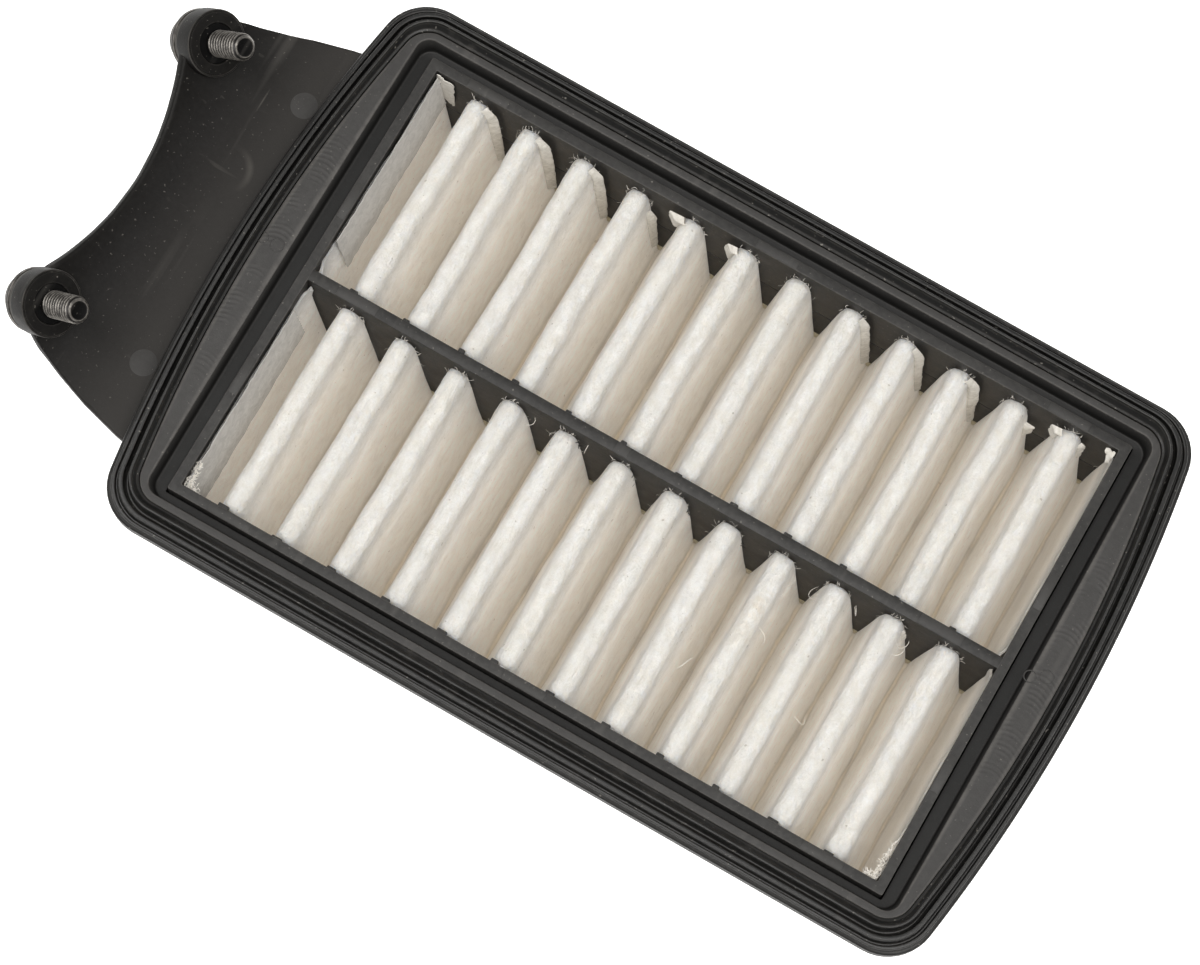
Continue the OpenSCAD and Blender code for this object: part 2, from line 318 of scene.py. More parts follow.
# ---- materials
class Graph:
    """Short hand for a material's nodes."""

    def __init__(self, name):
        self.material = bpy.data.materials.new(name)
        self.material.use_nodes = True
        self.tree = self.material.node_tree
        self.shader = self.tree.nodes["Principled BSDF"]
        self.coords = self.node("ShaderNodeTexCoord").outputs["Object"]

    def node(self, kind, inputs=(), **settings):
        n = self.tree.nodes.new(kind)
        for k, v in settings.items():
            setattr(n, k, v)
        for k, v in dict(inputs).items():
            self.fill(n.inputs[k], v)
        return n

    def fill(self, socket, v):
        if isinstance(v, bpy.types.NodeSocket):
            self.tree.links.new(v, socket)
        else:
            socket.default_value = v

    def noise(self, scale, detail=3, stretch=(1, 1, 1), rough=0.55, distortion=0.0):
        """Noise with features of about 1/scale metres."""
        mapped = self.node("ShaderNodeMapping", {"Vector": self.coords, "Scale": stretch})
        return self.node(
            "ShaderNodeTexNoise",
            {"Vector": mapped.outputs[0], "Scale": scale, "Detail": detail,
             "Roughness": rough, "Distortion": distortion},
        ).outputs["Fac"]

    def ramp(self, value, lo=0.3, hi=0.7, out_lo=0.0, out_hi=1.0):
        return self.node(
            "ShaderNodeMapRange",
            {"Value": value, "From Min": lo, "From Max": hi, "To Min": out_lo, "To Max": out_hi},
        ).outputs[0]

    def mix(self, factor, a, b):
        n = self.node("ShaderNodeMix", {0: factor, 6: a, 7: b}, data_type="RGBA")
        return n.outputs[2]

    def tint(self, colour, factor, hexa):
        return self.mix(factor, colour, rgb(hexa))

    def math(self, op, a, b=0.0, clamp=False):
        return self.node("ShaderNodeMath", {0: a, 1: b}, operation=op, use_clamp=clamp).outputs[0]

    def times(self, a, b):
        return self.math("MULTIPLY", a, b)

    def xyz(self):
        return self.node("ShaderNodeSeparateXYZ", {0: self.coords}).outputs

    def worn_edge(self, scale, detail, broken, amount):
        """The mesh's worn edges, broken up by noise from the least share up."""
        edge = self.node("ShaderNodeAttribute", attribute_name="wear").outputs["Fac"]
        return self.times(
            self.times(edge, self.ramp(self.noise(scale, detail), 0.3, 0.6, broken, 1)), amount
        )

    def bump(self, height, distance, strength=1.0, normal=None):
        inputs = {"Height": height, "Distance": distance, "Strength": strength}
        if normal is not None:
            inputs["Normal"] = normal
        return self.node("ShaderNodeBump", inputs).outputs[0]

    def near(self, centre, radius, soft=1.0):
        """1 at a place on the object, in metres, falling to 0 at the radius."""
        kind = "ShaderNodeVectorMath"
        d = self.node(kind, {0: self.coords, 1: centre}, operation="SUBTRACT").outputs[0]
        d = self.node(kind, {0: d, 1: [1 / r for r in radius]}, operation="MULTIPLY").outputs[0]
        length = self.node(kind, {0: d}, operation="LENGTH").outputs["Value"]
        return self.ramp(length, 1.0, 1.0 - soft)

    def out(self, **sockets):
        for k, v in sockets.items():
            self.fill(self.shader.inputs[k.replace("_", " ")], v)
        return self.material


def rgb(hexa):
    """sRGB hex to linear RGBA."""
    c = [int(hexa[i : i + 2], 16) / 255 for i in (0, 2, 4)]
    return tuple(x / 12.92 if x <= 0.04045 else ((x + 0.055) / 1.055) ** 2.4 for x in c) + (1.0,)


def plastic(name, dark, light, rough, specks=0.25, worn="6a6763", wear=0.35, extra=None,
            specular=0.5):
    """Moulded black plastic or rubber: cloudy tone, fine grain, dust specks, paler worn edges."""
    g = Graph(name)
    cloud, fine = g.noise(60, 5, rough=0.65), g.noise(900, 3)
    tone = g.math("ADD", g.ramp(cloud, 0.3, 0.7, 0, 0.5), g.ramp(fine, 0.35, 0.7, 0, 0.5), True)
    colour = g.mix(tone, rgb(dark), rgb(light))
    streaks = g.noise(260, 2, stretch=(1, 0.06, 1))
    colour = g.tint(colour, g.ramp(streaks, 0.6, 0.75, 0, 0.18), worn)
    speck = g.ramp(g.noise(1500, 2, rough=0.4), 0.70, 0.76)
    colour = g.tint(colour, g.times(speck, specks), "8d8982")
    colour = g.tint(colour, g.worn_edge(420, 3, 0.35, wear), worn)
    normal = g.bump(g.noise(3200, 2), 0.00003)
    normal = g.bump(g.noise(240, 3), 0.00003, 0.5, normal)
    if extra:
        colour, normal = extra(g, colour, normal)
    roughness = g.ramp(g.noise(150, 3), 0.3, 0.7, rough - 0.03, rough + 0.05)
    return g.out(
        Base_Color=colour, Roughness=roughness, Normal=normal, Specular_IOR_Level=specular
    )


RIPPLE_PITCH = 0.00115  # metres
RIPPLE_X = 0.0935  # middle of the rippled band, metres from the panel's centre
RIPPLE_BOW = 110


def ledge_ripples_and_moat_shade(g, colour, normal):
    """Painted shade, darker lower down and darkest in the moat groove, and shallow cutter ripples
    across the middle of the short sides' ledge.
    """
    x, y, z = g.xyz()
    away = g.math("ABSOLUTE", g.math("SUBTRACT", x, XS / 1000))
    on = g.times(g.ramp(away, 0.0905, 0.0915), g.ramp(away, 0.0972, 0.0962))
    on = g.times(on, g.ramp(g.math("ABSOLUTE", y), 0.034, 0.026))
    # arcs: y plus a bow that depends on x
    bow = g.times(g.math("POWER", g.math("SUBTRACT", away, RIPPLE_X), 2), RIPPLE_BOW)
    phase = g.times(g.math("ADD", y, bow), 2 * math.pi / RIPPLE_PITCH)
    ripple = g.times(g.math("SINE", phase), on)
    # painted shade: the moulding darkens lower down, most in the moat groove
    low = g.ramp(z, (RIM - 1.6) / 1000, (RIM + 1.7) / 1000, 0.85, 0)
    colour = g.tint(colour, low, "0b0b0a")
    ripple = g.times(ripple, g.ramp(g.noise(150, 2), 0.47, 0.62))
    colour = g.tint(colour, g.ramp(ripple, 0, 1, 0, 0.06), "6a6865")
    return colour, g.bump(ripple, 0.00002, 1.0, normal)


def bracket_sheen_and_marks(g, colour, normal):
    """Painted sheen on the root, pale scuffs and flow streaks, one curved rub and one straight
    scratch.
    """
    scuff = g.noise(70, 4, stretch=(1, 0.35, 1), distortion=1.2)
    on = g.times(g.ramp(scuff, 0.62, 0.74), g.ramp(g.noise(22, 2), 0.45, 0.6))
    hair = g.ramp(g.noise(520, 1, stretch=(0.08, 1, 1), distortion=0.4), 0.73, 0.78)
    # painted sheen: paler towards the root, next to the seal
    colour = g.tint(colour, g.ramp(g.xyz()[0], -0.104, -0.084, 0, 0.75), "373533")
    colour = g.tint(colour, g.times(on, 0.07), "6f6b66")
    colour = g.tint(colour, g.times(hair, 0.05), "8a867f")
    # the rub is the part of a ring that lies near a second place
    centre = (-0.0960, 0.0125, 0.0395)
    rub = g.near(centre, (0.007, 0.007, 0.014), 0.16)
    rub = g.times(rub, g.ramp(g.near(centre, (0.0062, 0.0062, 0.0124), 0.2), 1, 0))
    rub = g.times(rub, g.near((-0.0905, 0.0150, 0.037), (0.006, 0.006, 0.012), 0.8))
    scratch = g.near((-0.0965, 0.0300, 0.0385), (0.0003, 0.0042, 0.004), 0.8)
    marks = g.math("ADD", g.times(rub, 0.13), g.times(scratch, 0.28), True)
    return g.tint(colour, marks, "8a867f"), normal


carrier_mat = plastic("carrier_plastic", "302f2e", "3a3938", 0.5, extra=ledge_ripples_and_moat_shade,
                      specular=0.24)
bracket_mat = plastic("bracket_plastic", "121110", "1b1a19", 0.46, extra=bracket_sheen_and_marks,
                      specular=0.1)
pin_mat = plastic("ejector_pin_mark", "353433", "3b3a39", 0.5, specular=0.12)
cassette_mat = plastic("cassette_plastic", "181716", "31302e", 0.5, specks=0.4, specular=0.32)
pad_mat = plastic("cassette_pad", "2b2a29", "343331", 0.54, specks=0.4, specular=0.34)
seal_mat = plastic("seal_rubber", "080808", "111110", 0.38, specks=0.5, worn="55524e", wear=0.22,
                   specular=0.38)
face_mat = plastic("face_rubber", "0f0e0e", "191816", 0.75, specks=0.5, worn="3a3835",
                   specular=0.12)
ring_mat = plastic("ring_plastic", "060606", "0d0d0d", 0.6, specular=0.08)
grid_mat = plastic("grid_plastic", "272624", "33322f", 0.5)


def steel(name, dark, light, rough, metallic, worn="9a9690", wear=0.4):
    """Dull plated steel: cloudy tone, brighter worn edges."""
    g = Graph(name)
    colour = g.mix(g.ramp(g.noise(420, 4)), rgb(dark), rgb(light))
    return g.out(
        Base_Color=g.tint(colour, g.worn_edge(900, 2, 0.3, wear), worn),
        Roughness=g.ramp(g.noise(600, 3), 0.3, 0.7, rough - 0.06, rough + 0.1),
        Normal=g.bump(g.noise(2500, 2), 0.00002),
        Metallic=metallic,
    )


bolt_mat = steel("bolt_steel", "100f0e", "201e1d", 0.36, 0.6, worn="a9a49d", wear=0.5)
washer_mat = steel("washer_steel", "26241f", "3a3733", 0.42, 0.7)
sleeve_mat = steel("sleeve_steel", "7c7a76", "9a9792", 0.35, 0.9)


TOP_M, LOW_M = CREST_Z / 1000, VALLEY_Z / 1000
GLOW = 0.165  # painted glow: emission standing in for light carried down through the thin folds
GLOW_AT_BOTTOM = 0.85


def fabric():
    """White nonwoven media: fibrous bump, faint warm clouds, a stain and a few specks, with painted
    warm shade down the folds and a painted glow.
    """
    g = Graph("filter_media")
    x, _, z = g.xyz()
    colour = g.mix(g.ramp(g.noise(30, 4)), rgb("fbf7f1"), rgb("f6f1e8"))
    # painted shade: warmer and darker deeper in the folds
    colour = g.tint(colour, g.ramp(z, TOP_M - 0.003, LOW_M + 0.006, 0, 0.5), "efe7da")
    # shaded leaf at the right wall, and the very bottom of each fold
    right_x = (XS + HX) / 1000
    colour = g.tint(colour, g.ramp(x, right_x - 0.0042, right_x - 0.0022, 0, 0.75), "b8ac99")
    colour = g.tint(colour, g.ramp(z, LOW_M + 0.0035, LOW_M + 0.0005, 0, 0.7), "aca08d")
    mottle = g.noise(380, 6, stretch=(1, 0.7, 1), rough=0.7)
    colour = g.tint(colour, g.ramp(mottle, 0.42, 0.66, 0, 0.45), "d8d0c3")
    fibres = g.noise(700, 4, stretch=(1, 0.35, 1), rough=0.7, distortion=1.5)
    colour = g.tint(colour, g.ramp(fibres, 0.35, 0.6, 0.22, 0), "dfd6c8")
    cotton = g.noise(1500, 5, stretch=(0.5, 1, 0.7), rough=0.75, distortion=2.5)
    colour = g.tint(colour, g.ramp(cotton, 0.42, 0.6, 0.3, 0), "d9d1c4")
    stain_at = ((crest_x(8) + XS) / 1000, -0.016, (CREST_Z - 3.5) / 1000)
    stain = g.near(stain_at, (0.0035, 0.011, 0.009))
    stain = g.times(stain, g.ramp(g.noise(300, 4), 0.42, 0.66))
    colour = g.tint(colour, g.times(stain, 0.5), "b08f68")
    speck = g.ramp(g.noise(900, 1, rough=0.2), 0.79, 0.80)
    colour = g.tint(colour, g.times(speck, 0.5), "9b8d7a")
    normal = g.bump(fibres, 0.0011, 0.9)
    normal = g.bump(g.noise(2600, 3, rough=0.7, distortion=2.0), 0.0004, 0.9, normal)
    normal = g.bump(g.noise(260, 4, rough=0.65), 0.0012, 0.7, normal)
    # painted glow: emission stronger deeper in the folds, less at the very bottom
    glow = g.ramp(z, TOP_M - 0.001, TOP_M - 0.011, 0, GLOW)
    glow = g.times(glow, g.ramp(z, LOW_M + 0.0005, LOW_M + 0.004, GLOW_AT_BOTTOM, 1))
    glow = g.times(glow, g.ramp(mottle, 0.35, 0.7, 1.12, 0.8))
    return g.out(
        Base_Color=colour,
        Roughness=0.95,
        Normal=normal,
        Sheen_Weight=0.2,
        Sheen_Roughness=0.6,
        Specular_IOR_Level=0.15,
        Subsurface_Weight=0.6,
        Subsurface_Radius=(1.0, 0.86, 0.7),
        Subsurface_Scale=0.006,
        Emission_Color=(1, 0.91, 0.79, 1),
        Emission_Strength=glow,
    )


media_mat = fabric()


def simple_cloth(name, light, dark, scale=500):
    g = Graph(name)
    n = g.noise(scale, 4, rough=0.65, distortion=1.0)
    return g.out(
        Base_Color=g.mix(g.ramp(n), rgb(light), rgb(dark)),
        Roughness=0.9,
        Normal=g.bump(n, 0.00025, 0.8),
        Sheen_Weight=0.2,
        Specular_IOR_Level=0.2,
    )


scrim_mat = simple_cloth("scrim", "d9d6cf", "b3afa6")
# grey sheet material that paints shade on the leaves at the left wall
leaf_shade_grey_mat = simple_cloth("left_leaf_shade_sheet", "bfbdb9", "a3a19d")
fibre_mat = simple_cloth("loose_fibre", "efece6", "d8d2c6", 900)
dark_fibre_mat = simple_cloth("dark_fibre", "2a2825", "171614", 900)
bead_mat = simple_cloth("adhesive", "cfc5aa", "bdb292", 200)

# ---- camera and light
camera = new_object("camera", bpy.data.cameras.new("camera"))
camera.data.sensor_width = 36
camera.data.lens = 123.905
right = Vector((0.86733, 0.49658, 0.0337))
up = Vector((-0.48981, 0.83956, 0.23501))
back = Vector((0.08841, -0.22033, 0.97141))
camera.matrix_world = Matrix.Translation((0.08699, -0.20103, 0.89067)) @ Matrix(
    (right, up, back)
).transposed().to_4x4()
bpy.context.scene.camera = camera
bpy.context.scene.view_settings.view_transform = "Standard"


def area_light(name, place, size, energy, colour=(1, 1, 1), target=(0.02, 0, 0.03)):
    light = new_object(name, bpy.data.lights.new(name, "AREA"))
    light.data.shape = "RECTANGLE"
    light.data.size, light.data.size_y = size
    light.data.energy = energy
    light.data.color = colour
    light.location = place
    light.rotation_mode = "QUATERNION"
    light.rotation_quaternion = (Vector(place) - Vector(target)).to_track_quat("Z", "Y")


area_light("key", (-0.6, -0.15, 1.35), (0.8, 0.8), 10, (1, 0.985, 0.965))
area_light("top", (0.05, -0.42, 1.65), (0.7, 0.7), 7, (1, 0.985, 0.965))
area_light("fill", (0.62, -0.2, 1.3), (0.9, 0.9), 12.5, (1, 0.985, 0.96))
world = bpy.data.worlds.new("studio")
bpy.context.scene.world = world
world.use_nodes = True
sky = world.node_tree.nodes["Background"].inputs
sky["Color"].default_value = (1, 0.99, 0.975, 1)
sky["Strength"].default_value = 0.42

FLOOR_Z = -0.0002  # just clear of the box's back
floor_mesh = bpy.data.meshes.new("floor")
floor_corners = [(x, y, FLOOR_Z) for x, y in ((-4, -4), (4, -4), (4, 4), (-4, 4))]
floor_mesh.from_pydata(floor_corners, [], [(0, 1, 2, 3)])
floor = new_object("floor", floor_mesh)
g = Graph("floor_white")
floor_tone = g.mix(g.ramp(g.noise(3, 2)), rgb("fbfbfa"), rgb("f8f8f6"))
floor_mesh.materials.append(
    g.out(Base_Color=floor_tone, Roughness=0.9, Emission_Color=(1, 1, 1, 1),
          Emission_Strength=0.75)
)

# ---- outer moulding
BOX_OUT = 4.6  # outer face of the box, past the bay walls
MOAT_Z, LEDGE_Z = RIM - 2.8, RIM + 1.9


def square(d, r, z):
    """A profile point that runs round at one distance, its short sides all but straight."""
    return (d, d, 0.02, r, z)


carrier = Piece("outer_moulding")
sweep(
    carrier,
    [
        square(0, 0.2, 0),
        square(BOX_OUT, 1.6, 0),
        square(BOX_OUT + 0.05, 1.6, RIM - 22.2),
        square(4.3, 1.6, RIM - 22.0),
        square(4.3, 1.6, RIM - 21.6),
        square(BOX_OUT + 0.05, 1.6, RIM - 21.4),
        square(BOX_OUT, 1.6, RIM - 4),
        (10.6, 16.3, 5.8, 9.1, RIM - 4),
        (10.6, 16.3, 5.8, 9.1, RIM - 1.7),
        (6.8, 13.15, 5.5, 6, RIM - 1.7),
        (6.85, 13.2, 5.5, 6, LEDGE_Z),
        (5.15, 6.6, 0.4, 3.1, LEDGE_Z),
        (4.5, 5.85, 0.4, 3.5, MOAT_Z),
        square(2.6, 0.25, MOAT_Z),
        square(2.6, 0.25, BACK_Z),
        square(0, 0.2, BACK_Z),
    ],
    [0.4, 0.6, 0.1, 0.08, 0.08, 0.1, 0.8, 0.3, 0.3, 0.2, 0.3, 0.34, 0.4, 0.15, 0.1, 0.2],
)
# ribs down the box
for s in (-1, 1):
    for i in range(-3, 4):
        y0 = s * (HY + BOX_OUT + 0.9)
        carrier.box((i * 25 - 0.8, y0 - 1.1, 4), (i * 25 + 0.8, y0 + 1.1, RIM - 3.8), bevel=0.3)
for i in range(-2, 3):
    carrier.box((HX + 4.4, i * 22 - 0.8, 4), (HX + 6.6, i * 22 + 0.8, RIM - 3.8), bevel=0.3)
# gussets under the bracket
GUSSET_R = PLATE_R + PLATE_T - 0.6
for y in (-42, -15, 15, 42):
    arc = [
        (ARC_X + GUSSET_R * math.cos(a), ARC_Z + GUSSET_R * math.sin(a))
        for a in map(math.radians, np.linspace(270, 252, 7))
    ]
    carrier.prism([(-HX - 4.1, RIM - 26), (-HX - 4.1, PLATE_Z - 1)] + arc, y - 1, y + 1)
# small raised gate rings on the ledge
for x, y, r in ((-HX - 12.776, 1.536, 1.2), (-HX - 9.255, 1.536, 1.5),
                (HX + 9.959, 1.843, 1.5), (HX + 6.841, 0.205, 1.3)):
    a = np.linspace(0, 2 * math.pi, 36, endpoint=False)
    profile = [(r - 0.16, -0.1), (r - 0.07, 0.07), (r + 0.07, 0.07), (r + 0.16, -0.1)]
    ring = np.array([turned(q, a, LEDGE_Z + h) for q, h in profile]) + [x, y, 0]
    carrier.grid(ring, close_u=True, close_v=True)
carrier.done("filter", [carrier_mat], ["carrier_frame"])


# ---- bracket
def plate_point(x):
    """Point and normal of the plate's middle surface above x."""
    rm = PLATE_R + PLATE_T / 2
    if x >= ARC_X:
        return (x, PLATE_Z - PLATE_T / 2), (0.0, 1.0)
    a = math.asin(min(1.0, (ARC_X - x) / rm))
    return (x, ARC_Z - rm * math.cos(a)), (math.sin(a), math.cos(a))


def edge_y(x):
    """Half width of the bracket at x."""
    pts = [(-3, 52.5), (-10, 51.8), (-19, 50), (-28, 47.6), (-36, 44.8), (-41.5, 42.6)]
    xs = [-HX + p[0] for p in pts][::-1]
    return float(np.interp(x, xs, [p[1] for p in pts][::-1]))


def across_boss(x, z):
    """How far a point lies past a boss's axis, square to it."""
    return (x - DISC_X) * TILT_S - (z - DISC_Z) * TILT_C


EDGE_X, EDGE_R = 53.3, 56.5  # centre and radius of the concave edge


def plate_end(y):
    """x where the plate's concave outer edge lies at y."""
    best = -HX - 60
    for x in np.linspace(-HX - 53, -HX - 30, 231):
        if (across_boss(*plate_point(x)[0]) + EDGE_X) ** 2 + y * y < EDGE_R**2:
            best = x
    return best


NU, NV = 56, 97


def coons(left, right_, inner, outer):
    """Fills between four edges. The first two run from inner to outer, the others left to right."""
    u = np.linspace(0, 1, len(left))[:, None, None]
    v = np.linspace(0, 1, len(inner))[None, :, None]
    a = (1 - v) * left[:, None] + v * right_[:, None]
    b = (1 - u) * inner[None] + u * outer[None]
    c = (
        (1 - u) * (1 - v) * inner[0] + (1 - u) * v * inner[-1]
        + u * (1 - v) * outer[0] + u * v * outer[-1]
    )
    return a + b - c


corner_x = -HX - 41.5
side_x = np.linspace(-HX - 3, corner_x, NU)
left_edge = np.array([[x, edge_y(x)] for x in side_x])
right_edge = left_edge * [1, -1]
inner_edge = np.column_stack([np.full(NV, -HX - 3), np.linspace(52.5, -52.5, NV)])
# the outer edge goes round each boss, then along the concave curve
round_boss = np.array([[-41.5, 42.6], [-44, 41.5], [-46.8, 39.6], [-48.9, 36.8], [-49.6, 33.4],
                       [-49.0, 30.4]]) + [-HX, 0]
ys = np.linspace(28, -28, 41)
middle = np.array([[plate_end(y), y] for y in ys])
outer_line = np.concatenate([round_boss, middle, round_boss[::-1] * [1, -1]])
run = np.concatenate([[0], np.cumsum(np.linalg.norm(np.diff(outer_line, axis=0), axis=1))])
t = np.linspace(0, run[-1], NV)
outer_edge = np.column_stack([np.interp(t, run, outer_line[:, i]) for i in (0, 1)])
for _ in range(3):
    outer_edge[1:-1] = (outer_edge[:-2] + 2 * outer_edge[1:-1] + outer_edge[2:]) / 4
plan = coons(left_edge, right_edge, inner_edge, outer_edge)
mid = np.zeros((NU, NV, 3))
nrm = np.zeros((NU, NV, 3))
for i in range(NU):
    for j in range(NV):
        (px, pz), (nx, nz) = plate_point(plan[i, j, 0])
        mid[i, j] = (px, plan[i, j, 1], pz)
        nrm[i, j] = (nx, 0, nz)

bracket = Piece("bracket_plate")
bm = bmesh.new()
top = [[bm.verts.new(mid[i, j] + nrm[i, j] * PLATE_T / 2) for j in range(NV)] for i in range(NU)]
low = [[bm.verts.new(mid[i, j] - nrm[i, j] * PLATE_T / 2) for j in range(NV)] for i in range(NU)]
for i in range(NU - 1):
    for j in range(NV - 1):
        bm.faces.new((top[i][j], top[i + 1][j], top[i + 1][j + 1], top[i][j + 1]))
        bm.faces.new((low[i][j], low[i][j + 1], low[i + 1][j + 1], low[i + 1][j]))
loop = (
    [(0, j) for j in range(NV)] + [(i, NV - 1) for i in range(1, NU)]
    + [(NU - 1, j) for j in range(NV - 2, -1, -1)] + [(i, 0) for i in range(NU - 2, 0, -1)]
)
for (i, j), (i2, j2) in zip(loop, loop[1:] + loop[:1]):
    bm.faces.new((top[i][j], low[i][j], low[i2][j2], top[i2][j2]))
bmesh.ops.recalc_face_normals(bm, faces=bm.faces[:])
rim_edges = [e for e in bm.edges if len(e.link_faces) == 2 and e.calc_face_angle() > 1.2]
bmesh.ops.bevel(bm, geom=rim_edges, offset=0.62, segments=3, affect="EDGES", profile=0.5)
# holes for the bolts, their ragged edges hidden inside the boss barrels
for side in (1, -1):

    def off_axis(p):
        return math.hypot(across_boss(p.x, p.z), p.y - side * BOSS_Y)

    inner = [f for f in bm.faces if off_axis(f.calc_center_median()) < BOLT_HOLE_R]
    bmesh.ops.delete(bm, geom=inner, context="FACES")
    edges = [e for e in bm.edges if e.is_boundary and e.verts[0].co.y * side > 0]
    bmesh.ops.bridge_loops(bm, edges=edges)
bmesh.ops.delete(bm, geom=[v for v in bm.verts if not v.link_faces], context="VERTS")
bracket.take(bm)
# ejector pin marks, as thin discs barely above the plate
for s in (-1, 1):
    rings = []
    for q, h in ((0.02, 0.05), (2.8, 0.05), (3.0, 0.0), (3.0, -0.4), (0.02, -0.4)):
        ring = []
        for a in np.linspace(0, 2 * math.pi, 48, endpoint=False):
            (px, pz), (nx, nz) = plate_point(PIN_X + q * math.cos(a))
            lift = PLATE_T / 2 + h
            ring.append((px + nx * lift, s * PIN_Y + q * math.sin(a), pz + nz * lift))
        rings.append(ring)
    bracket.grid(np.array(rings), close_u=True, close_v=True, mat=1)
bracket.done("filter", [bracket_mat, pin_mat], sharp=40)

# ---- bosses, bolts and their rings
SIDES = 72
PITCH_T, CREST_R, ROOT_R, SHANK_R = 1.0, 3.0, 2.3, 2.6  # M6 x 1.0 and its shank
TIP_Z, RUN_OUT_Z, FLANGE_Z, HEAD_Z = 11.0, 0.3, -6.15, -11.55
HEX_R = 2.3
ang = np.arange(SIDES) * 2 * math.pi / SIDES
for side, word in ((1, "left"), (-1, "right")):
    place = at_boss(side)
    boss = Piece(f"boss_{word}_barrel")
    profile, wear = rounded(
        [(4.66, -1.1), (6.92, -1.1), (6.92, -0.02), (BOSS_R, -0.02), (BOSS_R, -BARREL),
         (4.66, -BARREL)],
        [0.1, 0.1, 0.15, 0.3, 0.3, 0.2],
    )
    boss.lathe(profile, place, 96, wear)
    boss.done("filter", [bracket_mat], sharp=40)

    face = Piece(f"boss_{word}_face")
    profile, wear = rounded(
        [(4.72, -1.15), (4.45, 0.0), (4.6, 0.1), (6.85, 0.1), (6.9, -1.15)],
        [0.1, 0.1, 0.2, 0.2, 0.1],
    )
    face.lathe(profile, place, 72, wear)
    face.done("filter", [face_mat], [f"face_seal_{word}"], sharp=40)

    # bolt: one closed surface from the tip down to the head's socket
    screw = Piece(f"bolt_{word}_threaded")
    z = np.concatenate([[TIP_Z], np.arange(TIP_Z - 0.02, RUN_OUT_Z - 0.3, -0.05)])[:, None]
    z = z * np.ones(SIDES)
    phase = ((z - ang * PITCH_T / (2 * math.pi)) / PITCH_T) % 1.0
    ridge = np.clip((0.5 - np.abs(phase - 0.5)) * 2 * 1.3 - 0.1, 0, 1)
    cone = CREST_R - 0.75 + (TIP_Z - z)
    radius = np.minimum(ROOT_R + (CREST_R - ROOT_R) * ridge, cone)
    fade = np.clip((RUN_OUT_Z + 0.3 - z) / 0.4, 0, 1)
    radius = radius * (1 - fade) + SHANK_R * fade
    shaft = turned(radius, ang, z)
    thread_wear = np.clip((radius - CREST_R + 0.28) / 0.2, 0, 1)
    tip_edge = (z > TIP_Z - 0.62) & (radius >= cone - 1e-6)
    thread_wear = np.maximum(thread_wear, 0.8 * tip_edge)
    body, body_wear = rounded(
        [(SHANK_R, -0.15), (SHANK_R, FLANGE_Z), (6.7, FLANGE_Z), (7.1, FLANGE_Z - 0.4),
         (7.1, FLANGE_Z - 1.3), (6.6, FLANGE_Z - 1.7), (5.4, FLANGE_Z - 1.75), (5.4, -10.9),
         (4.4, HEAD_Z), (2.9, HEAD_Z)],
        [0, 0.1, 0.25, 0.25, 0.3, 0.15, 0.15, 0.7, 0.5, 0.1], closed=False,
    )
    skin = turned(body[:, :1], ang, body[:, 1:])
    sixth = math.pi / 6
    flats = HEX_R * math.cos(sixth) / np.cos((ang + sixth) % (math.pi / 3) - sixth)
    socket = np.array(
        [turned(flats * f, ang, z)
         for f, z in ((1.12, HEAD_Z), (1.0, -11.35), (0.99, -8.7), (0.5, -8.3), (0.02, -8.2))]
    )
    tip_face = np.array(
        [turned(q, ang, TIP_Z - down) for q, down in ((0.02, 0.14), (1.85, 0.14), (2.05, 0.02))]
    )
    whole = np.concatenate([tip_face, shaft, skin, socket])
    wear = np.concatenate(
        [np.zeros((2, SIDES)), np.full((1, SIDES), 0.9), thread_wear,
         np.repeat(body_wear[:, None], SIDES, 1), np.zeros((len(socket), SIDES))]
    )
    screw.grid(place(whole), close_v=True, wear=wear)
    screw.cap(0, SIDES, 1)
    screw.cap((len(whole) - 1) * SIDES, SIDES)
    screw.mats[: 2 * SIDES] = [1] * (2 * SIDES)  # the tip's hollow face is black
    screw.done(f"screw_{word}", [bolt_mat, ring_mat], [f"bolt_{word}"], sharp=55)

# ---- inner moulding
cassette = Piece("cassette_moulding")
sweep(
    cassette,
    [
        square(0.02, 0.25, RIM),
        square(2.3, 0.5, RIM),
        square(2.3, 0.5, BACK_Z),
        square(0.02, 0.25, BACK_Z),
        square(0.02, 0.25, RIM - 20.6),
        square(0.2, 0.25, RIM - 20.5),
        square(0.2, 0.25, RIM - 20.1),
        square(0.02, 0.25, RIM - 20.0),
    ],
    [0.22, 0.22, 0.2, 0.2, 0.04, 0.04, 0.04, 0.04],
)
cassette.box((-HX - 0.5, -RIB_W / 2, BACK_Z), (HX + 0.5, RIB_W / 2, RIM - 0.02), bevel=0.22)
# raised pads on the long sides, the rib and the short sides


def pad(x0, x1, y0, y1, top=PAD_Z):
    cassette.box((x0, y0, RIM - 0.5), (x1, y1, top), 1, 0.08)


for x0, x1 in ((7.3, 17.3), (79, 89), (150.6, 160.3)):
    for y0 in (-HY - 2.1, HY + 0.25):
        pad(x0 - HX, x1 - HX, y0, y0 + 1.85)
for x0, x1 in ((6.7, 16.4), (75, 78.2), (148.8, 159)):
    pad(x0 - HX, x1 - HX, -RIB_W / 2 + 0.2, RIB_W / 2 - 0.2)
for y0 in (-31, 14):
    for s in (-1, 1):
        x = s * (HX + 1.15)
        pad(x - 0.9, x + 0.9, y0, y0 + 9, RIM + 0.08)
# comb nubs beside the crests, over the media's near ends
for y in (-HY, RIB_W / 2):
    for k in range(CREST_N):
        x = crest_x(k) - 2.5 + rng.uniform(-0.15, 0.15)
        w = rng.uniform(1.6, 2.6) if y < 0 else rng.uniform(1.2, 2.0)
        out = rng.uniform(0.45, 0.95)
        top_z = RIM - rng.uniform(0.45, 0.8)
        cassette.box((x, y - 0.5, RIM - 1.9), (x + w, y + out, top_z), 0, 0.22)
cassette.done(
    "filter", [cassette_mat, pad_mat], ["cassette_frame"]
)

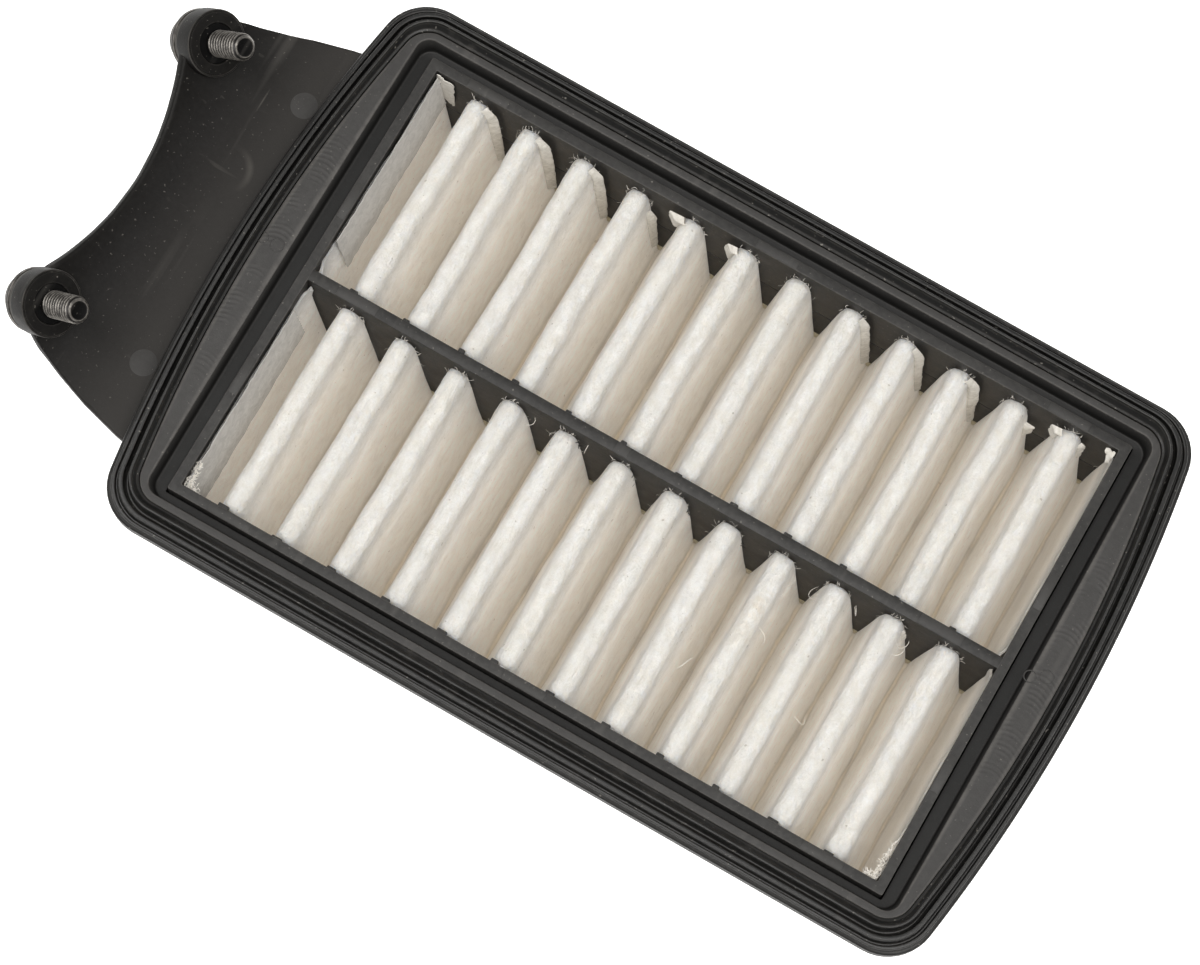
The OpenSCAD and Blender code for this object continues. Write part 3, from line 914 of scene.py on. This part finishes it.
# ---- seal
# its profile: mm past the long and the short bay walls, bow, corner radius, height past the rim
SEAL_PROFILE = [
    (6.9, 13.25, 5.5, 6, -1.4), (6.9, 13.25, 5.5, 6, 2.3), (7.4, 13.7, 5.5, 6.4, 2.5),
    # inner lip
    (8.35, 14.3, 5.6, 7.3, 3.6), (8.6, 14.5, 5.6, 7.5, 4.1), (9.1, 15, 5.6, 8, 4.1),
    (9.25, 15.1, 5.6, 8.1, 0.6), (9.7, 15.5, 5.7, 8.4, 0.2), (10.2, 16.0, 5.8, 8.8, 0.6),
    # outer lip
    (10.45, 16.25, 5.8, 9.0, 1.9), (11.3, 17.05, 5.8, 9.6, 1.9), (11.55, 17.3, 5.8, 9.8, -0.7),
    (12.0, 17.75, 5.9, 10.2, -0.8), (12.15, 17.95, 5.9, 10.3, -0.1),
    (12.75, 18.6, 5.9, 10.6, -0.2), (12.85, 18.7, 5.9, 10.7, -1.3),
    # outer bead, round to the back
    (13.15, 19.0, 6, 10.8, -1.4), (13.6, 19.5, 6, 11, -1.7), (13.6, 19.5, 6, 11, -2.6),
    (13.2, 19.1, 6, 10.8, -2.9), (13.2, 19.1, 6, 10.8, -3.5), (13.55, 19.45, 6, 11, -3.8),
    (13.5, 19.4, 6, 11, -4.9), (12.9, 18.8, 6, 10.6, -5.2), (9.3, 15.2, 5.6, 8.2, -5.2),
    (9.3, 15.2, 5.6, 8.2, -4.05), (10.9, 16.6, 5.8, 9.4, -4.05), (10.9, 16.6, 5.8, 9.4, -1.4),
]
seal = Piece("perimeter_seal")
sweep(
    seal,
    [(*plan, RIM + height) for *plan, height in SEAL_PROFILE],
    [0.1, 0.2, 0.25, 0.25, 0.2, 0.2, 0.3, 0.3, 0.3, 0.22, 0.22, 0.25, 0.2, 0.2, 0.2, 0.2, 0.2,
     0.25, 0.25, 0.2, 0.2, 0.25, 0.3, 0.3, 0.3, 0.1, 0.1, 0.1],
    steps=4,
)
seal.done("filter", [seal_mat], ["seal_gasket"])

# ---- folded media
NV_MEDIA = 64


def media_path():
    """The fold's upper face across one bank, as points (x, z)."""
    knots, radii = [(-HX + 0.5, CREST_Z - 0.9)], [0]
    for i in range(CREST_N + 1):
        xv = crest_x(i - 0.5)
        knots += [(xv - 0.3, VALLEY_Z + 0.1), (xv + 0.3, VALLEY_Z + 0.1)]
        radii += [0.3, 0.3]
        if i < CREST_N:
            xc = crest_x(i)
            half = [(2.62, -3.4), (2.3, -1.45), (1.35, -0.35)]
            knots += [(xc - a, CREST_Z + b) for a, b in half] + [(xc, CREST_Z)]
            knots += [(xc + a, CREST_Z + b) for a, b in half[::-1]]
            radii += [1.2, 0.9, 0.6, 0.6, 0.6, 0.9, 1.2]
    knots.append((HX - 0.22, CREST_Z + 1.2))
    radii.append(0)
    pts, _ = rounded(knots, radii, closed=False, steps=4, dims=(0, 1))
    out = [pts[0]]
    for p in pts[1:]:
        base, gap = out[-1], np.linalg.norm(p - out[-1])
        if gap > 3:
            out += [base + (p - base) * f for f in np.linspace(0, 1, 13)[1:]]
        elif gap > 0.05:
            out.append(p)
    return np.array(out)


PATH = media_path()


def make_media(side, word):
    """One bank: the path carried across it, its crests and flanks wavy, ends rounded over."""
    seed = 40 + side
    r = np.random.default_rng(seed)
    n = len(PATH)
    y = np.linspace(-1, 1, NV_MEDIA)
    # more rows near the ends, where the crests round over
    y = np.sign(y) * (1 - (1 - np.abs(y)) ** 1.35)
    yy = y * (MEDIA_W / 2)
    x = PATH[:, 0][:, None] * np.ones(NV_MEDIA)
    z = PATH[:, 1][:, None] * np.ones(NV_MEDIA)
    height = np.clip((z - VALLEY_Z) / (CREST_Z - VALLEY_Z), 0, 1)
    along = (PATH[:, 0] + HX - CREST_X0) / PITCH
    k = np.clip(np.round(along), 0, CREST_N - 1).astype(int)  # the nearest crest
    m = np.clip(np.round(along + 0.5), 0, CREST_N).astype(int)  # the nearest valley
    centre = crest_x(k)[:, None]
    right_of = np.sign(x - centre)

    def wave(count, amp1, amp2):
        out = np.zeros((count, NV_MEDIA))
        along_y = yy / MEDIA_W * math.pi
        for i in range(count):
            a, b, c = r.uniform(0, 6.28, 3)
            out[i] = (
                amp1 * np.sin(along_y * r.uniform(1.2, 2.4) + a)
                + amp2 * np.sin(along_y * r.uniform(4, 7) + b)
                + amp2 * 0.5 * np.sin(along_y * r.uniform(9, 14) + c)
            )
        return out

    shift_c, shift_v = wave(CREST_N, 0.14, 0.03), wave(CREST_N + 1, 0.16, 0.04)
    lift, widen = wave(CREST_N, 0.12, 0.03), 1 + wave(CREST_N, 0.03, 0.012)
    bulge_l, bulge_r = wave(CREST_N, 0.2, 0.05), wave(CREST_N, 0.2, 0.05)
    end = MEDIA_W / 2 - np.abs(yy)
    end_round = np.clip(1 - end / 2.0, 0, 1) ** 2
    at_crest = np.clip((z - CREST_Z + 7) / 6.5, 0, 1)
    width = widen[k] * (1 - 0.12 * np.clip(1 - end / 3.5, 0, 1) ** 2)
    x = centre + (x - centre) * (1 + (width - 1) * at_crest)
    x = x + shift_c[k] * height + shift_v[m] * (1 - height)
    x = x + np.sin(math.pi * height) * np.where(right_of > 0, bulge_r[k], bulge_l[k])
    z = z + lift[k] * at_crest - 1.1 * end_round * at_crest
    z = z + shift_v[m] * 0.5 * (1 - np.clip(height * 6, 0, 1))
    # the end leaves stand against the walls, so they stay there; their top edge is ragged
    wall_l = np.clip(1 - (x + HX - 0.55) / 1.2, 0, 1)
    wall_r = np.clip(1 - (HX - 0.55 - x) / 1.2, 0, 1)
    x = np.clip(x, -HX + 0.12, HX - 0.12)
    ragged = smooth_noise((2, NV_MEDIA), (1, 17), seed + 3)[0] * 0.35
    ragged = ragged + r.uniform(-0.12, 0.12, NV_MEDIA)
    z = z + np.where(height > 0.8, ragged[None] * np.maximum(wall_l, 0.3 * wall_r), 0)
    z = np.minimum(z, RIM - 0.7)
    p = np.stack([x, side * BANK_Y + yy[None] * np.ones((n, 1)), z], -1)
    du, dv = np.gradient(p, axis=0), np.gradient(p, axis=1)
    normal = np.cross(du, dv)
    normal /= np.linalg.norm(normal, axis=2, keepdims=True) + 1e-9
    if normal[..., 2].sum() < 0:
        normal = -normal
    rough = smooth_noise((n, NV_MEDIA), (n // 6, 20), seed + 1) * 0.09
    rough += smooth_noise((n, NV_MEDIA), (n // 2, 44), seed + 2) * 0.06
    inside = np.clip((HX - 0.5 - np.abs(p[..., 0])) / 1.5, 0, 1)
    upper = p + normal * (rough * inside)[..., None]
    thin = np.clip(inside, 0.35, 1)
    lower = p - normal * (MEDIA_T * thin)[..., None]
    lower[..., 0] = np.clip(lower[..., 0], -HX + 0.05, HX - 0.05)
    upper[..., 0] = np.clip(upper[..., 0], -HX + 0.08, HX - 0.08)
    piece = Piece(f"folded_media_{word}")
    ring = np.concatenate([upper, lower[::-1]])
    piece.grid(ring, close_u=True)
    total = len(ring)
    # close the two cut ends with quads between the faces
    for col in (0, NV_MEDIA - 1):
        for i in range(n - 1):
            rows = (i, i + 1, total - 2 - i, total - 1 - i)
            piece.faces.append(tuple(row * NV_MEDIA + col for row in rows))
            piece.mats.append(0)
    return piece.done("filter", [media_mat], [f"pleats_{word}_bank"], sharp=60), upper


media_left, upper_left = make_media(1, "left")
media_right, upper_right = make_media(-1, "right")


# ---- flaps, torn bits and fibres
def flap(piece, k, side, drop0, drop1, width, seed, right=True):
    """Strip of the thin second layer standing out beside a crest's far end."""
    r = np.random.default_rng(seed)
    s = 1 if right else -1
    y_wall = side * BANK_Y + BANK_W / 2
    xc = crest_x(k)
    nu, nv = 22, 9
    t = np.linspace(0, 1, nu)
    down = drop0 + (drop1 - drop0) * t
    flank = 2.5 + (PITCH / 2 - 0.9 - 2.5) * np.clip((down - 2) / 32.2, 0, 1)
    flank = np.where(down < 2, 1.4 + 1.1 * np.sqrt(np.clip(down / 2, 0, 1)), flank)
    w = width * np.clip(t * 9, 0, 1) * (1 - 0.25 * t)
    w = w + r.uniform(-0.1, 0.1, nu)
    w = w + np.interp(t, [0, 0.2, 0.45, 0.7, 1], r.uniform(-0.3, 0.3, 5))
    pts = np.zeros((nu, nv, 3))
    for j in range(nv):
        f = j / (nv - 1)
        pts[:, j, 0] = xc + s * (flank - 1.3 + (w + 1.3) * f)
        crease = abs(f - 0.55) / 0.55
        pts[:, j, 1] = y_wall - 2.0 + 1.1 * crease * (f > 0.55) - 0.5 * (1 - crease)
        pts[:, j, 2] = CREST_Z - down + 0.5 * f + r.uniform(-0.06, 0.06, nu)
    thick = np.array([0, 0.22, 0.02])
    ring = np.concatenate([pts, (pts - thick)[:, ::-1]], 1)
    start = piece.count
    piece.grid(ring, close_v=True)
    m = ring.shape[1]
    piece.cap(start, m)
    piece.cap(start + (nu - 1) * m, m)


hairs = Piece("loose_fibres")


def fibre(start, heading, length_mm, curl, radius, seed, mat=0):
    """A single hair that wanders and curls away from its start. seed may be a generator."""
    if not isinstance(seed, int):
        seed = int(seed.integers(1 << 30))
    r = np.random.default_rng(seed)
    d = np.array(heading, float)
    d /= np.linalg.norm(d)
    p = np.array(start, float)
    path = [p.copy()]
    steps = 13
    axis = r.normal(size=3)
    axis /= np.linalg.norm(axis)
    for _ in range(steps):
        d = d + curl * np.cross(axis, d) + r.normal(size=3) * 0.12
        d /= np.linalg.norm(d)
        p = p + d * length_mm / steps
        path.append(p.copy())
    hairs.tube(np.array(path), radius, 5, mat)


scraps = Piece("torn_flaps_and_shade_sheets")
for k, d0, d1, w in ((0, 0.6, 28, 2.3), (1, 0.6, 28, 2.3), (2, 0.7, 29, 2.2), (3, 8.0, 29, 1.7),
                     (7, 1.0, 28, 1.7), (8, 1.0, 27, 1.6), (9, 0.7, 28, 1.9), (10, 9.5, 14.5, 2.4)):
    flap(scraps, k, 1, d0, d1, w, 100 + k)
for k, d0, d1, w in ((4, 0.4, 4.8, 3.4), (5, 0.7, 6.5, 2.3), (11, 1.0, 6.0, 2.4)):
    flap(scraps, k, 1, d0, d1, w, 200 + k, right=False)
flap(scraps, 11, 1, 3.0, 12, 1.0, 311)
flap(scraps, 10, -1, 5.0, 12, 0.7, 312)


def patch(piece, corners, n, seed, mat=0, thick=0.2, jag=0.3, amp=0.25):
    """Ragged thin patch between four corners."""
    r = np.random.default_rng(seed)
    c = np.array(corners, float)
    u, v = np.meshgrid(np.linspace(0, 1, n), np.linspace(0, 1, n), indexing="ij")
    p = (
        (1 - u)[..., None] * (1 - v)[..., None] * c[0] + u[..., None] * (1 - v)[..., None] * c[1]
        + u[..., None] * v[..., None] * c[2] + (1 - u)[..., None] * v[..., None] * c[3]
    )
    face_dir = np.cross(c[1] - c[0], c[3] - c[0])
    face_dir /= np.linalg.norm(face_dir)
    p += face_dir * (smooth_noise((n, n), (4, 4), seed) * amp)[..., None]
    edge = np.maximum(np.abs(u - 0.5), np.abs(v - 0.5)) * 2 > 0.99
    p += edge[..., None] * r.uniform(-jag, jag, p.shape)
    q = p - face_dir * thick
    start = piece.count
    piece.grid(p, mat=mat)
    base = piece.count
    piece.grid(q[:, ::-1], mat=mat)
    ring = [(i, 0) for i in range(n)] + [(n - 1, j) for j in range(1, n)]
    ring += [(i, n - 1) for i in range(n - 2, -1, -1)] + [(0, j) for j in range(n - 2, 0, -1)]
    for (i, j), (i2, j2) in zip(ring, ring[1:] + ring[:1]):
        a, b = i * n, i2 * n
        piece.faces.append(
            (start + a + j, start + b + j2, base + b + n - 1 - j2, base + a + n - 1 - j)
        )
        piece.mats.append(mat)


# scrap in the far right corner, folded leaf at the far left
patch(scraps, [(HX - 2.6, HY - 0.35, RIM - 1.6), (HX - 0.3, HY - 0.4, RIM - 0.8),
               (HX - 0.3, HY - 3.4, RIM - 1.0), (HX - 1.2, HY - 2.8, RIM - 3.2)], 8, 5, jag=0.25)
patch(scraps, [(-HX + 0.25, HY - 0.3, RIM - 0.9), (-HX + 4.4, HY - 0.4, RIM - 2.2),
               (-HX + 4.8, HY - 0.5, RIM - 15), (-HX + 0.6, HY - 0.5, RIM - 13)], 12, 6, jag=0.15)
# grey sheet against the left wall of each bank, painted shade on the end leaf there
for y0, y1, seed in ((-HY + 0.8, -RIB_W / 2 - 7, 31), (RIB_W / 2 + 8, HY - 1.0, 32)):
    patch(scraps, [(-HX + 0.75, y0, RIM - 1.2), (-HX + 0.75, y1, RIM - 1.2),
                   (-HX + 2.75, y1, RIM - 15), (-HX + 2.95, y0, RIM - 17)], 30, seed, 1,
          thick=0.12, jag=0.12, amp=0.06)
scraps.done("filter", [scrim_mat, leaf_shade_grey_mat], sharp=50)

for side, upper in ((1, upper_left), (-1, upper_right)):
    r = np.random.default_rng(60 + side)
    n = len(PATH)
    for _ in range(430):
        i = int(r.integers(4, n - 4))
        j = int(r.integers(1, NV_MEDIA - 1))
        if r.random() < 0.45:
            j = NV_MEDIA - 2 if r.random() < 0.7 else 1
        p = upper[i, j]
        if p[2] < CREST_Z - 15:
            continue
        du, dv = upper[i + 1, j] - upper[i - 1, j], upper[i, j + 1] - upper[i, j - 1]
        nn = np.cross(du, dv)
        nn /= np.linalg.norm(nn) + 1e-9
        nn = nn if nn[2] > 0 else -nn
        heading = nn * 0.5 + r.normal(size=3) * 0.6
        fibre(p, heading, r.uniform(0.7, 2.4), r.uniform(-0.25, 0.25),
              r.uniform(0.016, 0.03), r)
# longer strays in the near bank's folds
stray = [(3, -1.2, 5.5, 0.42, 21), (4, -3.0, 6.0, 0.35, 22), (9, -2.6, 7.5, 0.5, 23),
         (10, -3.6, 5.0, 0.35, 24), (10, -5.0, 6.5, 0.3, 25), (8, -20, 8.0, 0.3, 26),
         (9, -30, 6.0, 0.4, 27), (7, -34, 7.0, 0.25, 28)]
for k, y, size, curl, seed in stray:
    fibre((crest_x(k + 0.36), y, CREST_Z - 6), (0.3, -0.2, 0.7), size, curl, 0.07, seed)
# short fuzz at the crests' far ends, against the rib and the far wall
for side, end in ((1, HY - 0.7), (-1, -RIB_W / 2 - 0.7)):
    r = np.random.default_rng(75 + side)
    for k in range(CREST_N):
        for _ in range(9):
            where = r.uniform(-1, 1)
            down = 0.6 + 12 * max(0, abs(where) - 0.45)
            x = crest_x(k) + np.sign(where) * min(2.3, 3.2 * abs(where)) + 0.1 * where * down
            fibre((x, end, CREST_Z - down), (0.6 * where, r.uniform(-0.2, 0.6), 0.7),
                  r.uniform(0.7, 1.7), r.uniform(-0.3, 0.3), 0.04, r)
# looped hairs at the rib
for k, dx, size, curl, seed in (
    (9, -3.4, 11, 0.62, 41), (9, -4.2, 9, 0.7, 42), (8, 3.2, 8, 0.6, 43),
    (10, -3.3, 5, 0.5, 44), (2, 3.6, 4.5, 0.45, 45), (3, -3.2, 4, 0.5, 46),
):
    root = (crest_x(k) + dx, -RIB_W / 2 - 1.2, CREST_Z - 8)
    fibre(root, (0.1, -0.2, 1.0), size, curl, 0.055, seed)
# ragged tufts in the two near corners
r = np.random.default_rng(83)
for wall, reach, count in ((1, 9.0, 260), (-1, 6.0, 150)):
    for _ in range(count):
        back = reach * r.random() ** 2
        inward = r.uniform(0, 1) * (3.0 if back < 1.2 else 0.9)
        fibre((wall * (HX - 0.15 - inward), -HY + 0.3 + back, RIM - 1.0 - r.uniform(0, 1.4)),
              (-wall * r.uniform(0, 1), r.uniform(-0.3, 0.9), r.uniform(-0.6, 0.2)),
              r.uniform(0.6, 1.5), r.uniform(-0.5, 0.5), 0.07, r)
# dark fibres at the rib
for k in (4, 5, 6, 7):
    r = np.random.default_rng(90 + k)
    for _ in range(7):
        down = r.uniform(2, 13)
        root = (crest_x(k) + 2.5 + down * 0.1, -RIB_W / 2 - 0.6, CREST_Z - down)
        fibre(root, (0.5, -0.7, 0.5), r.uniform(0.8, 1.8), 0.2, 0.09,
              r, 1)
hair_obj = hairs.done("filter", [fibre_mat, dark_fibre_mat], sharp=80, recalc=False)

# ---- CAD nodes that stay
finishes = {"rear_grid": grid_mat}
for word in ("left", "right"):
    for name, material in (("bond_bead", bead_mat), ("stay_strand", bead_mat),
                           ("washer", washer_mat), ("sleeve", sleeve_mat),
                           ("captive_ring", ring_mat)):
        finishes[f"{name}_{word}"] = material
for name, material in finishes.items():
    nodes[name].data.materials.clear()
    nodes[name].data.materials.append(material)
